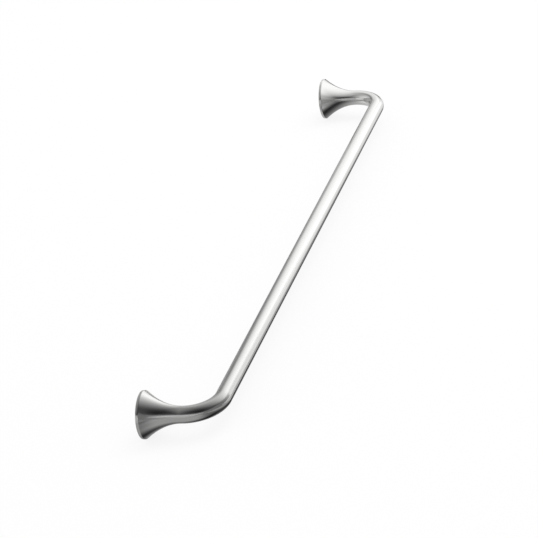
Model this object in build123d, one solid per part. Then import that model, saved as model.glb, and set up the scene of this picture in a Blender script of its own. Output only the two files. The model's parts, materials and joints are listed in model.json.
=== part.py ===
from build123d import *
import os
from math import radians, tan

# Cabinet pull: a slim round bar whose ends turn back into trumpet-shaped feet, cast in one piece.
# Millimetres. The bar runs along X and stands out towards -Y, and Z is up on a door or drawer front.
# The origin is on the mounting plane, half-way between the two screw axes.

# Driving sizes
hole_spacing = 320.0           # between the screw axes, ten steps of the 32 mm furniture grid
projection = 34.7              # from the mounting plane to the front of the bar
bar_diameter = 7.4
bend_radius = 14.2             # on the centreline of the bar
foot_diameter = 20.4
rim_height = 1.2               # straight edge of a foot, before it flares in
rim_front_round = 0.4
rim_back_round = 0.3
screw_hole_diameter = 3.3      # tapping size of an M4 thread
screw_hole_depth = 12.0        # down to the drill point
drill_point_angle = 118.0
screw_lead_in = 0.5            # 45 degree chamfer at the mouth of a screw hole

# Sizes that follow from them
bar_radius = bar_diameter / 2
foot_radius = foot_diameter / 2
bar_height = projection - bar_radius
flare_height = bar_height - bend_radius
bend_centre_x = hole_spacing / 2 - bend_radius
screw_hole_radius = screw_hole_diameter / 2
drill_point_height = screw_hole_radius / tan(radians(drill_point_angle / 2))

# Drawing plane of every section: x along the bar, y away from the mounting plane
section_plane = Plane((0, 0, 0), x_dir=(1, 0, 0), z_dir=(0, 0, -1))
leg_axis = Axis((0, 0, 0), (0, -1, 0))


def turn_about_leg(outline):
    """A closed half-section, turned about the axis of a leg that stands at the origin."""
    return revolve(section_plane * make_face(outline), axis=leg_axis)


def trumpet_foot():
    """A flat round foot whose flank is a parabola, tangent to the bar where the bend starts."""
    back_edge = (foot_radius, 0)
    rim_edge = (foot_radius, rim_height)
    flare_pull = (bar_radius, (rim_height + flare_height) / 2)
    neck = (bar_radius, flare_height)
    flank = Bezier(rim_edge, flare_pull, neck)
    foot = turn_about_leg(Polyline(neck, (0, flare_height), (0, 0), back_edge, rim_edge) + flank)
    rim_edges = foot.edges().filter_by(GeomType.CIRCLE).group_by(SortBy.RADIUS)[-1].sort_by(leg_axis)
    foot = fillet(rim_edges[-1], rim_front_round)
    back_rim_edge = foot.edges().filter_by(GeomType.CIRCLE).sort_by(leg_axis)[0]
    return fillet(back_rim_edge, rim_back_round)


def screw_hole():
    """The space of a blind tapping hole, with a lead-in chamfer and a drill point."""
    mouth_radius = screw_hole_radius + screw_lead_in
    tip = (0, screw_hole_depth + drill_point_height)
    wall_end = (screw_hole_radius, screw_hole_depth)
    wall_start = (screw_hole_radius, screw_lead_in)
    return turn_about_leg(Polyline((0, 0), (mouth_radius, 0), wall_start, wall_end, tip, close=True))


def bent_bar():
    """The round bar, from the neck of one foot round both bends to the neck of the other."""
    left_bend = CenterArc((-bend_centre_x, flare_height), bend_radius, 180, -90)
    right_bend = CenterArc((bend_centre_x, flare_height), bend_radius, 90, -90)
    straight = Line(left_bend @ 1, right_bend @ 0)
    path = section_plane * Wire([left_bend, straight, right_bend])
    neck_plane = Plane(path @ 0, z_dir=path % 0)
    return sweep(neck_plane * Circle(bar_radius), path=path)


pull_handle = bent_bar()
for screw_x in (-hole_spacing / 2, hole_spacing / 2):
    pull_handle += Pos(screw_x, 0, 0) * trumpet_foot()
    pull_handle -= Pos(screw_x, 0, 0) * screw_hole()

os.makedirs("parts", exist_ok=True)
export_step(pull_handle, "parts/pull_handle.step")
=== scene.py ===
import json
from math import atan, cos, pi, radians, sin, tan

import bpy
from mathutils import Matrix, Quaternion, Vector


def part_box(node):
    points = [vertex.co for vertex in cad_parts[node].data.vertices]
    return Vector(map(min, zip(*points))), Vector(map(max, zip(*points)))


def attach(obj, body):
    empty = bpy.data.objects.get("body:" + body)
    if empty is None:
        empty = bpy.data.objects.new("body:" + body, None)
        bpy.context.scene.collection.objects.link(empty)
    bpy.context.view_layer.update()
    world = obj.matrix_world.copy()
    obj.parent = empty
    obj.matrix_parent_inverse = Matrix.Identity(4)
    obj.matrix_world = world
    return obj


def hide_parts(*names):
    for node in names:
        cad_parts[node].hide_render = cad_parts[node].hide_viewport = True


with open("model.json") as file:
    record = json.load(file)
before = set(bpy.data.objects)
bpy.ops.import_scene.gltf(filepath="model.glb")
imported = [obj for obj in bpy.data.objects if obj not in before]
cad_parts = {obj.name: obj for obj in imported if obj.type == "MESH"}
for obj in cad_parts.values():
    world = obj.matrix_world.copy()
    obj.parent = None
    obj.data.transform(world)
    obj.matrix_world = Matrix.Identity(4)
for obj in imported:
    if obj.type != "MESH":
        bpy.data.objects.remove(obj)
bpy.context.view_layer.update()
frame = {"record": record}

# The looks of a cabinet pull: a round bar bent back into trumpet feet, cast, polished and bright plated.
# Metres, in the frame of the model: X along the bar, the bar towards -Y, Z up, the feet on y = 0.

MM = 0.001
MATH = "ShaderNodeMath"

# Sizes that the frame gives
node_low, node_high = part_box("pull_handle")
screw_holes = next(mount for mount in frame["record"]["mounts"] if mount["name"] == "screw_holes")
HOLE_SPACING = screw_holes["dims"]["spacing_x_mm"] * MM
BORE_RADIUS = screw_holes["dims"]["hole_r_mm"] * MM
FOOT_RADIUS = (node_high[0] - node_low[0] - HOLE_SPACING) / 2
PROJECTION = node_high[1] - node_low[1]

# Sizes of the casting
BAR_RADIUS = 3.7 * MM
BEND_RADIUS = 14.2 * MM
RIM_HEIGHT = 1.2 * MM
RIM_FRONT_ROUND = 0.4 * MM
RIM_BACK_ROUND = 0.3 * MM
BORE_DEPTH = 12.0 * MM
BORE_LEAD_IN = 0.5 * MM
DRILL_POINT_ANGLE = radians(118)

# The thread. Its crests end and its roots start at shares of a turn, counted from the middle of a crest
THREAD_PITCH = 0.7 * MM
THREAD_DEPTH = 0.35 * MM
THREAD_RUN_OUT = 1.2 * MM
CREST_END = 0.1
ROOT_START = 0.45
HALF_TURN = 0.5

# Heights over the backs of the feet, and lengths of the straight blank from its middle
BAR_HEIGHT = PROJECTION - BAR_RADIUS
FLARE_HEIGHT = BAR_HEIGHT - BEND_RADIUS
STRAIGHT_HALF = HOLE_SPACING / 2 - BEND_RADIUS
BLANK_HALF = STRAIGHT_HALF + BEND_RADIUS * pi / 2 + FLARE_HEIGHT

# Marks of the finish. Real buffing lines are finer, and these are as wide as they have to be to show
BUFF_LENGTH = 45 * MM
BUFF_WIDTH = 0.5 * MM
BUFF_DEPTH = 0.005 * MM
BUFF_STRENGTH = 0.25
WIPE_SIZE = 12 * MM
FACING_PITCH = 0.18 * MM
FACING_DEPTH = 0.01 * MM
TEAR_SIZE = 0.18 * MM

# Roughness of each finish, from its smoothest places to its dullest
PLATING_ROUGHNESS = (0.13, 0.2)
BACK_ROUGHNESS = (0.24, 0.36)
THREAD_ROUGHNESS = (0.3, 0.5)

# Where most values of a noise lie, and those of two noises multiplied
NOISE_RANGE = (0.3, 0.7)
PRODUCT_RANGE = (0.1, 0.45)

# Fineness of the mesh. Rings on a back stand at shares of the way from its edge to the mouth of the hole
SIDES = 96
BAR_STEPS = 24
BEND_STEPS = 36
FLARE_STEPS = 44
ROUND_STEPS = 6
STEPS_PER_TURN = 10
BACK_RING_SHARES = (0.01, 0.1, 0.3, 0.5, 0.7, 0.9, 0.99, 1.0)
FLAT_TOLERANCE = 0.01 * MM
MERGE_DISTANCE = 0.001 * MM

# The photograph's camera: what it looks at, how far off it stands and how it is turned
CAMERA_TARGET = Vector((-7.35, -12.39, -12.15)) * MM
CAMERA_DISTANCE = 1207.1 * MM
CAMERA_AZIMUTH = radians(-71.0)
CAMERA_ELEVATION = radians(26.03)
CAMERA_ROLL = radians(-9.66)
CAMERA_LENS = 174.1

# Surroundings for the eye: a floor that is white mostly by its own light, a soft lamp and a white world
FLOOR_HALF = 10.0
FLOOR_OWN_LIGHT = 0.85
LAMP_PLACE = Vector((0.5, -0.4, 1.2))
LAMP_SIZE = 0.8
LAMP_POWER = 5
WORLD_FILL = 0.85

# The studio that the metal mirrors: a box of cards, softboxes overhead, and a sheet below whose glow is
# painted floor light with painted shadows of the handle
BOX_LEFT = -1.1
BOX_RIGHT = 1.0
BOX_FRONT = -1.0
BOX_BACK = 0.7
BOX_HIGH = 0.8
SOFTBOX_LEFT = -0.6
SOFTBOX_FRONT = -0.62
SOFTBOX_Z = 0.25
SHEET_Z = -0.12

# Light of the cards: fades that are multiplied, each along an axis, from place to place and level to level
FAR_CARD_FADES = [("Y", (-0.05, 1.02), (1.1, 0.01))]
NEAR_CARD_FADES = [("Z", (0.4, 0.57), (0.57, 0)), ("Y", (-0.81, 0.3), (0.45, 1))]
FRONT_CARD_FADES = [("X", (0, 1.26), (0.21, 0.75))]
BACK_CARD_FADES = [("X", (-0.5, 0.5), (0.9, 0.45))]
# The sheet's fade is painted floor light: darker on the left, lighter on the right
SHEET_PAINTED_LIGHT_FADES = [("X", (-0.02, 0.125), (0.44, 1.05))]

# Soft ovals on the cards: centre, turn, half sizes, and the share of light left or the light added
FAR_CARD_SHADES = [((BOX_RIGHT, 0.03, -0.055), 0, (1, 0.27, 0.29), 0)]
NEAR_CARD_LIGHTS = [((BOX_LEFT, -0.44, 0.185), 0, (1, 0.86, 0.115), 0.63)]
PANE_LIGHTS = [((0.23, -0.11, 0.05), 0, (0.26, 1, 0.07), 0.96)]
# Painted shade on the sheet: painted shadows under the feet and legs, and painted dark strips and patches,
# seen only in the metal
SHEET_PAINTED_SHADE = [
    ((-0.15, -0.065, SHEET_Z), radians(86), (0.17, 0.09, 1), 0),
    ((-0.355, -0.335, SHEET_Z), radians(36), (1.5, 0.175, 1), 0.32),
    ((0.115, -0.085, SHEET_Z), radians(11), (0.62, 0.115, 1), 0.02),
    ((0.26, -0.2, SHEET_Z), radians(56), (2.5, 0.205, 1), 0.41),
    ((0.645, 0.505, SHEET_Z), radians(3), (1.16, 0.375, 1), 0)]
SOFTBOX_SHADES = [
    ((-0.41, -0.21, SOFTBOX_Z), radians(60), (0.4, 0.21, 1), 0.16),
    ((0.49, 0.32, SOFTBOX_Z), radians(40), (0.66, 0.06, 1), 0.37)]
SOFTBOX_LIGHTS = [
    ((0.74, -0.55, SOFTBOX_Z), radians(-24), (0.39, 0.12, 1), 0.9),
    ((0.82, 0.39, SOFTBOX_Z), radians(39), (0.9, 0.19, 1), 0.45)]

# Softboxes as soft ovals: centre, turn, half sizes, and the light in the middle and at the edge
LONG_SOFTBOX = ((0.34, -0.2, SOFTBOX_Z), radians(13), (0.625, 0.625, 1), 1.49, 0.075)
ROUND_SOFTBOX = ((0.085, 0.64, SOFTBOX_Z), 0, (0.96, 0.96, 1), 1.06, 0)

# The cap for an oval with no right end: places right of its middle count as level with the middle
RIGHT_END_CAP = (0, 10, 10)


def linear(hex_colour):
    """An sRGB hex value as linear RGBA."""
    channels = [int(hex_colour[k:k + 2], 16) / 255 for k in (1, 3, 5)]
    return [c / 12.92 if c <= 0.04045 else ((c + 0.055) / 1.055) ** 2.4 for c in channels] + [1.0]


def add(tree, kind, inputs=None, **options):
    """Adds a node, sets its options, and sets or links its inputs."""
    node = tree.nodes.new(kind)
    for option, value in options.items():
        setattr(node, option, value)
    for key, value in (inputs or {}).items():
        if isinstance(value, bpy.types.Node):
            value = value.outputs[0]
        if isinstance(value, bpy.types.NodeSocket):
            tree.links.new(value, node.inputs[key])
        else:
            node.inputs[key].default_value = value
    return node


def new_material(name):
    """A material with an empty tree."""
    material = bpy.data.materials.new(name)
    material.use_nodes = True
    material.node_tree.nodes.clear()
    return material, material.node_tree


def finish_metal(tree, colour, marks, marks_range, roughness, relief=None):
    """Ends the tree of a metal that is smooth where its marks are low and dull where they are high."""
    rough = add(tree, "ShaderNodeMapRange", {
        "Value": marks, "From Min": marks_range[0], "From Max": marks_range[1],
        "To Min": roughness[0], "To Max": roughness[1]}, interpolation_type="SMOOTHSTEP")
    inputs = {"Base Color": linear(colour), "Metallic": 1.0, "Roughness": rough}
    if relief is not None:
        inputs["Normal"] = relief
    surface = add(tree, "ShaderNodeBsdfPrincipled", inputs)
    add(tree, "ShaderNodeOutputMaterial", {"Surface": surface})


def bright_plating():
    """Zinc casting, polished and bright plated. A neutral mirror, a little soft: buffing has left faint
    lines along the bar and round the feet, and they blur what it mirrors by turns more and less."""
    material, tree = new_material("bright_plating_on_polished_zinc")
    skin = add(tree, "ShaderNodeAttribute", attribute_name="skin").outputs["Vector"]
    run = add(tree, "ShaderNodeAttribute", attribute_name="run").outputs["Fac"]
    lines_per_radian = BAR_RADIUS / BUFF_WIDTH
    on_bar = add(tree, "ShaderNodeVectorMath", {
        0: skin, 1: (1 / BUFF_LENGTH, lines_per_radian, lines_per_radian)}, operation="MULTIPLY")
    along_bar = add(tree, "ShaderNodeTexNoise", {"Vector": on_bar, "Scale": 1.0, "Detail": 3.0})
    down_foot = add(tree, MATH, {0: run, 1: 1 / BUFF_WIDTH}, operation="MULTIPLY")
    round_foot = add(tree, "ShaderNodeTexNoise", {
        "W": down_foot, "Scale": 1.0, "Detail": 2.0}, noise_dimensions="1D")
    flare_end = BLANK_HALF - RIM_HEIGHT
    on_foot = add(tree, "ShaderNodeMapRange", {
        "Value": run, "From Min": flare_end - FLARE_HEIGHT / 2, "From Max": flare_end},
        interpolation_type="SMOOTHSTEP")
    lines = add(tree, "ShaderNodeMix", {"Factor": on_foot, "A": along_bar, "B": round_foot})
    place = add(tree, "ShaderNodeTexCoord").outputs["Object"]
    wipes = add(tree, "ShaderNodeTexNoise", {"Vector": place, "Scale": 1 / WIPE_SIZE, "Detail": 2.0})
    blur = add(tree, MATH, {0: lines, 1: wipes}, operation="MULTIPLY")
    relief = add(tree, "ShaderNodeBump", {
        "Height": lines, "Strength": BUFF_STRENGTH, "Distance": BUFF_DEPTH})
    finish_metal(tree, "#D3D3D2", blur, PRODUCT_RANGE, PLATING_ROUGHNESS, relief)
    return material


def ground_back():
    """The back of a foot, faced flat on a grinder: duller, with fine rings round the screw hole."""
    material, tree = new_material("ground_back_of_foot")
    run = add(tree, "ShaderNodeAttribute", attribute_name="run").outputs["Fac"]
    across = add(tree, MATH, {0: run, 1: 1 / FACING_PITCH}, operation="MULTIPLY")
    rings = add(tree, "ShaderNodeTexNoise", {
        "W": across, "Scale": 1.0, "Detail": 1.0}, noise_dimensions="1D")
    relief = add(tree, "ShaderNodeBump", {"Height": rings, "Distance": FACING_DEPTH})
    finish_metal(tree, "#C9C9C7", rings, NOISE_RANGE, BACK_ROUGHNESS, relief)
    return material


def cut_thread():
    """The tapped thread, cut through the plating into bare zinc: grey and dull, blotched by the cutting."""
    material, tree = new_material("bare_zinc_thread")
    place = add(tree, "ShaderNodeTexCoord").outputs["Object"]
    tears = add(tree, "ShaderNodeTexNoise", {"Vector": place, "Scale": 1 / TEAR_SIZE, "Detail": 2.0})
    finish_metal(tree, "#A9AAAC", tears, NOISE_RANGE, THREAD_ROUGHNESS)
    return material


def blank_section():
    """Half-section of the straight blank, from its middle to a drill point. Each station has its distance
    from the middle, its radius and the depth of the thread there."""
    flare_drop = FOOT_RADIUS - BAR_RADIUS
    flare_run = FLARE_HEIGHT - RIM_HEIGHT
    rim_slope = atan(2 * flare_drop / flare_run)
    round_start = RIM_HEIGHT - RIM_FRONT_ROUND * tan(rim_slope / 2)
    flare_start = round_start + RIM_FRONT_ROUND * sin(rim_slope)
    stations = [(STRAIGHT_HALF * k / BAR_STEPS, BAR_RADIUS, 0) for k in range(BAR_STEPS)]
    for k in range(BEND_STEPS):
        stations.append((STRAIGHT_HALF + BEND_RADIUS * pi / 2 * k / BEND_STEPS, BAR_RADIUS, 0))

    def at_height(height, radius, thread=0):
        stations.append((BLANK_HALF - height, radius, thread))

    for k in range(FLARE_STEPS):
        height = FLARE_HEIGHT + (flare_start - FLARE_HEIGHT) * k / FLARE_STEPS
        at_height(height, BAR_RADIUS + flare_drop * ((FLARE_HEIGHT - height) / flare_run) ** 2)
    for k in range(ROUND_STEPS + 1):
        turn = rim_slope * (1 - k / ROUND_STEPS)
        inset = RIM_FRONT_ROUND * (1 - cos(turn))
        at_height(round_start + RIM_FRONT_ROUND * sin(turn), FOOT_RADIUS - inset)
    for k in range(ROUND_STEPS + 1):
        turn = pi / 2 * k / ROUND_STEPS
        inset = RIM_BACK_ROUND * (1 - cos(turn))
        at_height(RIM_BACK_ROUND * (1 - sin(turn)), FOOT_RADIUS - inset)
    back_edge = FOOT_RADIUS - RIM_BACK_ROUND
    mouth = BORE_RADIUS + BORE_LEAD_IN
    for share in BACK_RING_SHARES:
        at_height(0, back_edge + (mouth - back_edge) * share)
    step = THREAD_PITCH / STEPS_PER_TURN
    bore_steps = round((BORE_DEPTH - BORE_LEAD_IN) / step)
    for k in range(bore_steps + 1):
        height = BORE_LEAD_IN + (BORE_DEPTH - BORE_LEAD_IN) * k / bore_steps
        fade_in = min(1, (height - BORE_LEAD_IN) / THREAD_PITCH)
        fade_out = min(1, max(0, (BORE_DEPTH - THREAD_RUN_OUT - height) / THREAD_PITCH))
        at_height(height, BORE_RADIUS, THREAD_DEPTH * min(fade_in, fade_out))
    at_height(BORE_DEPTH + BORE_RADIUS / tan(DRILL_POINT_ANGLE / 2), 0)
    return stations


def section_mesh():
    """The whole section as a line of points, with each point's run along the outline from the middle, and
    the runs at which the back of a foot and its bore start."""
    half = blank_section()
    runs = [0.0]
    for before, after in zip(half, half[1:]):
        runs.append(runs[-1] + (Vector(after[:2]) - Vector(before[:2])).length)
    points = [(-d, r, t) for d, r, t in half[:0:-1]] + half
    mesh = bpy.data.meshes.new("pull_section")
    mesh.from_pydata(points, [(k, k + 1) for k in range(len(points) - 1)], [])
    run = mesh.attributes.new("run", "FLOAT", "POINT")
    run.data.foreach_set("value", runs[:0:-1] + runs)
    back_level = BLANK_HALF - FLAT_TOLERANCE
    first_back = next(k for k, s in enumerate(half) if s[0] > back_level)
    first_bore = next(k for k, s in enumerate(half) if k > first_back and s[0] < back_level)
    return mesh, runs[first_back], runs[first_bore - 1]


def station_grid(tree, given):
    """A flat grid, 1 by 1 about its centre, with a row of points for each station of the section, and for
    each point its station, its run along the outline and its angle about the line."""
    count = add(tree, "GeometryNodeAttributeDomainSize", {0: given["Section"]}).outputs["Point Count"]
    around = add(tree, MATH, {0: given["Sides"], 1: 1}, operation="ADD")
    grid = add(tree, "GeometryNodeMeshGrid", {
        "Size X": 1.0, "Size Y": 1.0, "Vertices X": count, "Vertices Y": around})
    position = tree.nodes.new("GeometryNodeInputPosition")
    place = add(tree, "ShaderNodeSeparateXYZ", {0: position}).outputs
    last = add(tree, MATH, {0: count, 1: 1}, operation="SUBTRACT")
    share = add(tree, MATH, {0: place["X"], 1: 0.5}, operation="ADD")
    row_place = add(tree, MATH, {0: share, 1: last}, operation="MULTIPLY")
    row = add(tree, MATH, {0: row_place}, operation="ROUND")
    angle = add(tree, MATH, {0: place["Y"], 1: 2 * pi, 2: pi}, operation="MULTIPLY_ADD")
    station = add(tree, "GeometryNodeSampleIndex", {
        "Geometry": given["Section"], "Value": position, "Index": row}, data_type="FLOAT_VECTOR")
    section_run = add(tree, "GeometryNodeInputNamedAttribute", {"Name": "run"}, data_type="FLOAT")
    run = add(tree, "GeometryNodeSampleIndex", {
        "Geometry": given["Section"], "Value": section_run, "Index": row}, data_type="FLOAT")
    return grid, station, run, angle


def threaded_radius(tree, given, distance, angle, plain_radius, cut):
    """The radius with the thread cut in: a right-hand helix with flat crests, as deep as the cut says."""
    turns = add(tree, MATH, {0: distance, 1: given["Thread pitch"]}, operation="DIVIDE")
    phase = add(tree, MATH, {0: angle, 1: 1 / (2 * pi), 2: turns}, operation="MULTIPLY_ADD")
    wave = add(tree, MATH, {0: phase, 1: HALF_TURN}, operation="PINGPONG")
    groove = add(tree, "ShaderNodeMapRange", {
        "Value": wave, "From Min": CREST_END, "From Max": ROOT_START})
    return add(tree, MATH, {0: groove, 1: cut, 2: plain_radius}, operation="MULTIPLY_ADD")


def bent_place(tree, given, distance, radius, cosine, sine):
    """The place of a point of the blank once it is bent: what lies past the straight half turns back, and
    what is left over stands as a leg."""
    bend_radius = given["Bend radius"]
    reach = add(tree, MATH, {0: distance}, operation="ABSOLUTE")
    past = add(tree, MATH, {0: reach, 1: given["Straight half"]}, operation="SUBTRACT")
    full_turn = add(tree, MATH, {0: past, 1: bend_radius}, operation="DIVIDE")
    turn = add(tree, "ShaderNodeClamp", {"Value": full_turn, "Min": 0.0, "Max": pi / 2})
    turn_sine = add(tree, MATH, {0: turn}, operation="SINE")
    turn_cosine = add(tree, MATH, {0: turn}, operation="COSINE")
    arc = add(tree, MATH, {0: bend_radius, 1: pi / 2}, operation="MULTIPLY")
    past_bend = add(tree, MATH, {0: past, 1: arc}, operation="SUBTRACT")
    leg = add(tree, MATH, {0: past_bend, 1: 0.0}, operation="MAXIMUM")
    ring = add(tree, MATH, {0: radius, 1: cosine, 2: bend_radius}, operation="MULTIPLY_ADD")
    straight = add(tree, MATH, {0: reach, 1: given["Straight half"]}, operation="MINIMUM")
    side = add(tree, MATH, {0: turn_sine, 1: ring, 2: straight}, operation="MULTIPLY_ADD")
    end = add(tree, MATH, {0: distance}, operation="SIGN")
    x = add(tree, MATH, {0: side, 1: end}, operation="MULTIPLY")
    lift = add(tree, MATH, {0: turn_cosine, 1: ring}, operation="MULTIPLY")
    bend_centre = add(tree, MATH, {0: given["Bar height"], 1: bend_radius}, operation="SUBTRACT")
    out = add(tree, MATH, {0: lift, 1: bend_centre}, operation="ADD")
    y = add(tree, MATH, {0: leg, 1: out}, operation="SUBTRACT")
    z = add(tree, MATH, {0: radius, 1: sine}, operation="MULTIPLY")
    return add(tree, "ShaderNodeCombineXYZ", {0: x, 1: y, 2: z})


def turned_and_bent():
    """A tree that turns a section about its line, cuts the thread, and bends both ends back into legs."""
    tree = bpy.data.node_groups.new("turned_and_bent", "GeometryNodeTree")
    tree.interface.new_socket("Section", in_out="INPUT", socket_type="NodeSocketGeometry")
    for name, kind in (("Sides", "Int"), ("Straight half", "Float"), ("Bend radius", "Float"),
                       ("Bar height", "Float"), ("Thread pitch", "Float"), ("Back starts", "Float"),
                       ("Bore starts", "Float"), ("Plating", "Material"), ("Back", "Material"),
                       ("Thread", "Material")):
        tree.interface.new_socket(name, in_out="INPUT", socket_type="NodeSocket" + kind)
    tree.interface.new_socket("Handle", in_out="OUTPUT", socket_type="NodeSocketGeometry")
    given = tree.nodes.new("NodeGroupInput").outputs
    shape, station, run, angle = station_grid(tree, given)
    distance, plain_radius, cut = add(tree, "ShaderNodeSeparateXYZ", {0: station}).outputs
    cosine = add(tree, MATH, {0: angle}, operation="COSINE")
    sine = add(tree, MATH, {0: angle}, operation="SINE")
    radius = threaded_radius(tree, given, distance, angle, plain_radius, cut)
    bent = bent_place(tree, given, distance, radius, cosine, sine)

    # What the materials read: the run along the outline, and the place on the straight blank
    skin = add(tree, "ShaderNodeCombineXYZ", {0: distance, 1: cosine, 2: sine})
    for name, value, kind in (("run", run, "FLOAT"), ("skin", skin, "FLOAT_VECTOR")):
        shape = add(tree, "GeometryNodeStoreNamedAttribute", {
            "Geometry": shape, "Name": name, "Value": value}, data_type=kind, domain="POINT")
    shape = add(tree, "GeometryNodeSetPosition", {"Geometry": shape, "Position": bent})
    shape = add(tree, "GeometryNodeMergeByDistance", {"Geometry": shape, "Distance": MERGE_DISTANCE})
    shape = add(tree, "GeometryNodeSetShadeSmooth", {"Geometry": shape})
    shape = add(tree, "GeometryNodeRealizeInstances", {"Geometry": shape})

    # Plating all over, and then the other finishes from where they start to the ends of the outline
    shape = add(tree, "GeometryNodeSetMaterial", {"Geometry": shape, "Material": given["Plating"]})
    run_here = add(tree, "GeometryNodeInputNamedAttribute", {"Name": "run"}, data_type="FLOAT")
    for start, material in (("Back starts", "Back"), ("Bore starts", "Thread")):
        beyond = add(tree, "FunctionNodeCompare", {
            "A": run_here, "B": given[start]}, operation="GREATER_THAN")
        shape = add(tree, "GeometryNodeSetMaterial", {
            "Geometry": shape, "Selection": beyond, "Material": given[material]})
    add(tree, "NodeGroupOutput", {0: shape})
    return tree


def make_handle():
    """The handle as one closed mesh, in place of the plain solid."""
    section, back_starts, bore_starts = section_mesh()
    blank = bpy.data.objects.new("pull_blank", section)
    bpy.context.scene.collection.objects.link(blank)
    modifier = blank.modifiers.new("turned_and_bent", "NODES")
    modifier.node_group = turned_and_bent()
    settings = {"Sides": SIDES, "Straight half": STRAIGHT_HALF, "Bend radius": BEND_RADIUS,
                "Bar height": BAR_HEIGHT, "Thread pitch": THREAD_PITCH, "Back starts": back_starts,
                "Bore starts": bore_starts, "Plating": bright_plating(), "Back": ground_back(),
                "Thread": cut_thread()}
    for socket in modifier.node_group.interface.items_tree:
        if socket.name in settings:
            modifier[socket.identifier] = settings[socket.name]
    evaluated = blank.evaluated_get(bpy.context.evaluated_depsgraph_get())
    mesh = bpy.data.meshes.new_from_object(evaluated)
    mesh.name = "plated_pull"
    bpy.data.objects.remove(blank)
    handle = bpy.data.objects.new("plated_pull", mesh)
    bpy.context.scene.collection.objects.link(handle)
    return handle


def stage_sheet(name, first, last):
    """A level or upright rectangle of the studio between two opposite corners, with an empty material."""
    (x, y, z), (x_end, y_end, z_end) = first, last
    if z == z_end:
        corners = [(x, y, z), (x_end, y, z), (x_end, y_end, z), (x, y_end, z)]
    else:
        corners = [(x, y, z), (x_end, y_end, z), (x_end, y_end, z_end), (x, y, z_end)]
    mesh = bpy.data.meshes.new(name)
    mesh.from_pydata(corners, [], [(0, 1, 2, 3)])
    sheet = bpy.data.objects.new(name, mesh)
    bpy.context.scene.collection.objects.link(sheet)
    material, tree = new_material(name)
    mesh.materials.append(material)
    return sheet, tree


def light_card(name, first, last, glow, clear=False):
    """A card that only the metal sees. glow takes the tree and the place, and gives the strength. A clear
    card adds its light to what shows through it."""
    card, tree = stage_sheet(name, first, last)
    strength = glow(tree, add(tree, "ShaderNodeTexCoord").outputs["Object"])
    light = add(tree, "ShaderNodeEmission", {"Strength": strength})
    if clear:
        light = add(tree, "ShaderNodeAddShader", {0: light, 1: add(tree, "ShaderNodeBsdfTransparent")})
    add(tree, "ShaderNodeOutputMaterial", {"Surface": light})
    card.visible_camera = False
    card.visible_diffuse = False
    card.visible_shadow = False
    card.visible_transmission = False


def oval_level(tree, place, centre, turn, half_sizes, middle, edge, no_right_end=False):
    """A level that goes smoothly from the middle of a turned oval to its edge, and stays so outside. An
    oval with no right end goes on as a band from its middle."""
    local = add(tree, "ShaderNodeMapping", {
        "Vector": place, "Location": centre, "Rotation": (0, 0, turn), "Scale": half_sizes},
        vector_type="TEXTURE")
    if no_right_end:
        local = add(tree, "ShaderNodeVectorMath", {0: local, 1: RIGHT_END_CAP}, operation="MINIMUM")
    distance = add(tree, "ShaderNodeVectorMath", {0: local}, operation="LENGTH").outputs["Value"]
    return add(tree, "ShaderNodeMapRange", {
        "Value": distance, "To Min": middle, "To Max": edge}, interpolation_type="SMOOTHSTEP")


def with_ovals(tree, place, strength, shades=(), lights=()):
    """A strength with soft ovals in it: shades leave only a share of the light, and lights add to it."""
    for *oval, share in shades:
        light_left = oval_level(tree, place, *oval, share, 1)
        strength = add(tree, MATH, {0: strength, 1: light_left}, operation="MULTIPLY")
    for *oval, light in lights:
        light_added = oval_level(tree, place, *oval, light, 0)
        strength = add(tree, MATH, {0: strength, 1: light_added}, operation="ADD")
    return strength


def card_glow(fades, shades=(), lights=()):
    """A glow made of fades that are multiplied, with soft ovals in it. Without fades only ovals glow."""
    def glow(tree, place):
        axes = add(tree, "ShaderNodeSeparateXYZ", {0: place}).outputs
        strength = 1.0 if fades else 0.0
        for axis, places, levels in fades:
            level = add(tree, "ShaderNodeMapRange", {
                "Value": axes[axis], "From Min": places[0], "From Max": places[1],
                "To Min": levels[0], "To Max": levels[1]}, interpolation_type="SMOOTHSTEP")
            strength = add(tree, MATH, {0: strength, 1: level}, operation="MULTIPLY")
        return with_ovals(tree, place, strength, shades, lights)
    return glow


def overhead_glow(tree, place):
    """A long softbox that runs off to the right and a round one behind the handle, with ovals in both."""
    long_box = oval_level(tree, place, *LONG_SOFTBOX, no_right_end=True)
    round_box = oval_level(tree, place, *ROUND_SOFTBOX)
    strength = add(tree, MATH, {0: long_box, 1: round_box}, operation="MAXIMUM")
    return with_ovals(tree, place, strength, SOFTBOX_SHADES, SOFTBOX_LIGHTS)


def make_cards():
    """Softboxes overhead, cards on four sides, a sheet below that glows with painted floor light and
    painted shade, and a clear pane at the right foot.
    """
    left, right, front, back, low, high = BOX_LEFT, BOX_RIGHT, BOX_FRONT, BOX_BACK, SHEET_Z, BOX_HIGH
    light_card("overhead_softboxes", (SOFTBOX_LEFT, SOFTBOX_FRONT, SOFTBOX_Z), (right, back, SOFTBOX_Z),
               overhead_glow)
    # The sheet's glow is painted floor light, and its dark ovals are painted shade
    light_card("painted_floor_light_sheet", (left, front, low), (right, back, low),
               card_glow(SHEET_PAINTED_LIGHT_FADES, shades=SHEET_PAINTED_SHADE))
    light_card("far_card", (right, front, low), (right, back, high),
               card_glow(FAR_CARD_FADES, shades=FAR_CARD_SHADES))
    light_card("near_card", (left, front, low), (left, back, high),
               card_glow(NEAR_CARD_FADES, lights=NEAR_CARD_LIGHTS))
    light_card("front_card", (left, front, low), (right, front, high), card_glow(FRONT_CARD_FADES))
    light_card("back_card", (left, back, low), (right, back, high), card_glow(BACK_CARD_FADES))
    (pane_x, pane_y, pane_z), _, (wide, _, tall), _ = PANE_LIGHTS[0]
    light_card("clear_pane", (pane_x - wide, pane_y, pane_z - tall), (pane_x + wide, pane_y, pane_z + tall),
               card_glow([], lights=PANE_LIGHTS), clear=True)


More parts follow.
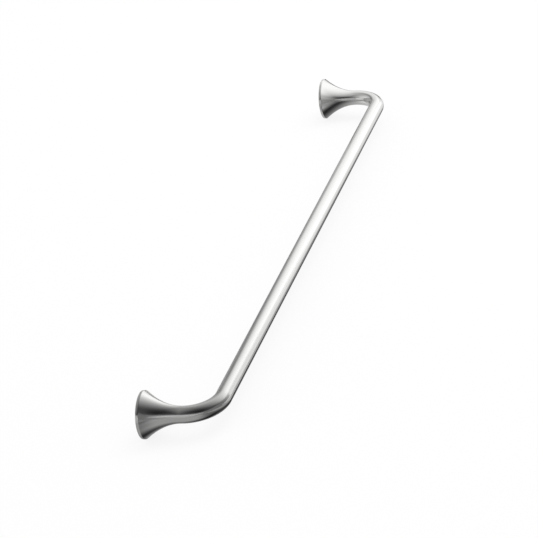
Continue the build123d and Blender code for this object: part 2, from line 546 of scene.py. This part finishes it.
def make_floor():
    """White to the eye, with the handle's shadow. The metal sees through it to the sheet below, with its
    painted floor light and painted shade.
    """
    floor, tree = stage_sheet(
        "floor", (-FLOOR_HALF, -FLOOR_HALF, node_low[2]), (FLOOR_HALF, FLOOR_HALF, node_low[2]))
    floor.visible_glossy = False
    ray = add(tree, "ShaderNodeLightPath").outputs
    seen = add(tree, MATH, {0: ray["Is Camera Ray"], 1: ray["Is Transmission Ray"]}, operation="MAXIMUM")
    white = add(tree, MATH, {0: seen, 1: FLOOR_OWN_LIGHT}, operation="MULTIPLY")
    surface = add(tree, "ShaderNodeMixShader", {
        0: white, 1: add(tree, "ShaderNodeBsdfDiffuse", {"Color": linear("#F8F8F8")}),
        2: add(tree, "ShaderNodeEmission", {"Strength": 1.0})})
    add(tree, "ShaderNodeOutputMaterial", {"Surface": surface})


def make_light():
    """A soft lamp from the upper right for the shadow, and an even white world."""
    data = bpy.data.lights.new("soft_lamp", "AREA")
    data.size = LAMP_SIZE
    data.energy = LAMP_POWER
    lamp = bpy.data.objects.new("soft_lamp", data)
    bpy.context.scene.collection.objects.link(lamp)
    lamp.location = LAMP_PLACE
    lamp.rotation_mode = "QUATERNION"
    lamp.rotation_quaternion = (-LAMP_PLACE).to_track_quat("-Z", "Y")
    lamp.visible_glossy = False
    world = bpy.data.worlds.new("studio")
    bpy.context.scene.world = world
    world.use_nodes = True
    tree = world.node_tree
    tree.nodes.clear()
    ray = add(tree, "ShaderNodeLightPath").outputs
    seen = ray["Is Camera Ray"]
    for kind in ("Is Glossy Ray", "Is Transmission Ray"):
        seen = add(tree, MATH, {0: seen, 1: ray[kind]}, operation="MAXIMUM")
    strength = add(tree, "ShaderNodeMapRange", {"Value": seen, "To Min": WORLD_FILL, "To Max": 1.0})
    sky = add(tree, "ShaderNodeBackground", {"Color": (1, 1, 1, 1), "Strength": strength})
    add(tree, "ShaderNodeOutputWorld", {"Surface": sky})


def make_camera():
    """The camera, turned about the target by azimuth, elevation and roll."""
    level = cos(CAMERA_ELEVATION)
    back = Vector((sin(CAMERA_AZIMUTH) * level, -cos(CAMERA_AZIMUTH) * level, sin(CAMERA_ELEVATION)))
    data = bpy.data.cameras.new("camera")
    data.lens = CAMERA_LENS
    camera = bpy.data.objects.new("camera", data)
    bpy.context.scene.collection.objects.link(camera)
    camera.location = CAMERA_TARGET + back * CAMERA_DISTANCE
    camera.rotation_mode = "QUATERNION"
    camera.rotation_quaternion = (-back).to_track_quat("-Z", "Y") @ Quaternion((0, 0, 1), CAMERA_ROLL)
    bpy.context.scene.camera = camera


handle = make_handle()
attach(handle, "root")
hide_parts("pull_handle")
make_cards()
make_floor()
make_light()
make_camera()
bpy.context.scene.view_settings.view_transform = "Standard"
